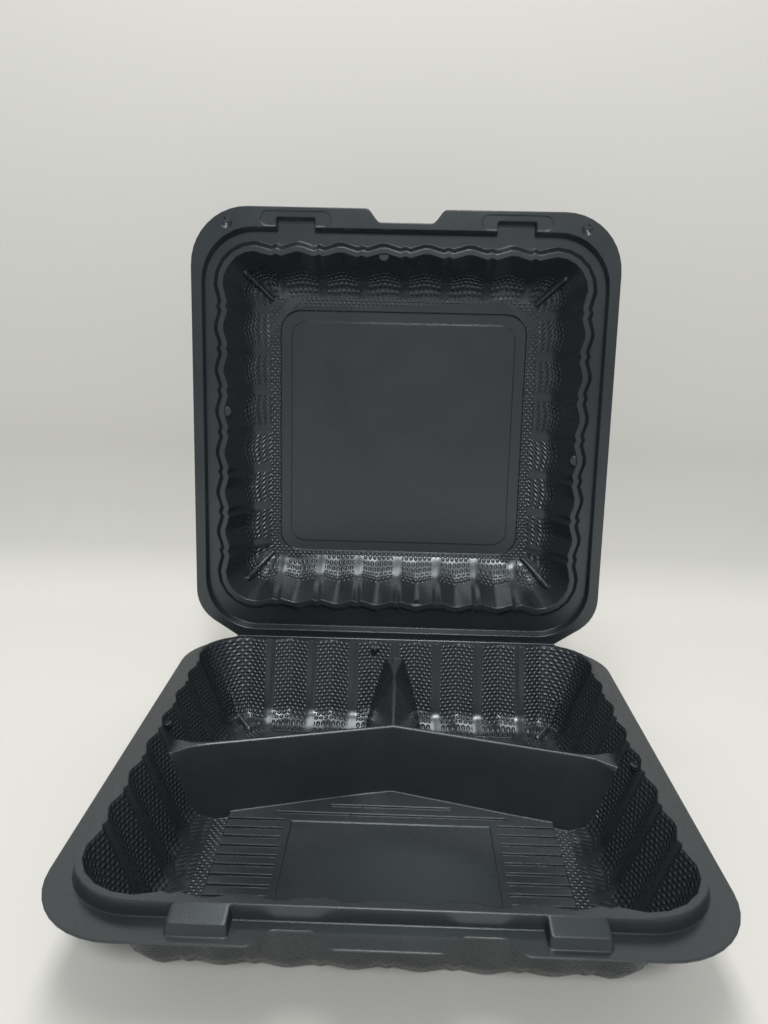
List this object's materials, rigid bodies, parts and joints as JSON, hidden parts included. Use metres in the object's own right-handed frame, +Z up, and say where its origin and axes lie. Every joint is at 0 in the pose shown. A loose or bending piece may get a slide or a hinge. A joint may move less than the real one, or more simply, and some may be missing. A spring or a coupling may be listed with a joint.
{
  "type": "hinged clamshell food container",
  "caption": "Shallow square food box with an open tray divided into compartments and a hinged lid that closes over a ridge and snaps on two front latches.",
  "frame": {"origin": "on the surface that the tray stands on, under the middle of the box round the opened container", "axes": "+X to the right across the tray, +Y from the front latches to the hinge, +Z up; the hinge line runs along X"},
  "size_m": [0.23, 0.2794, 0.276],
  "materials": {
    "black_sheet": "satin, finely dimpled inside"
  },
  "bodies": {
    "base": {"base_tray": "black_sheet"},
    "lid": {"lid": "black_sheet"}
  },
  "joints": [
    {"name": "lid_hinge", "type": "hinge", "parent": "base", "child": "lid", "pos_m": [0, 0.09548, 0.0388], "axis": [1, 0, 0], "range_deg": [-80, 93.7]}
  ]
}
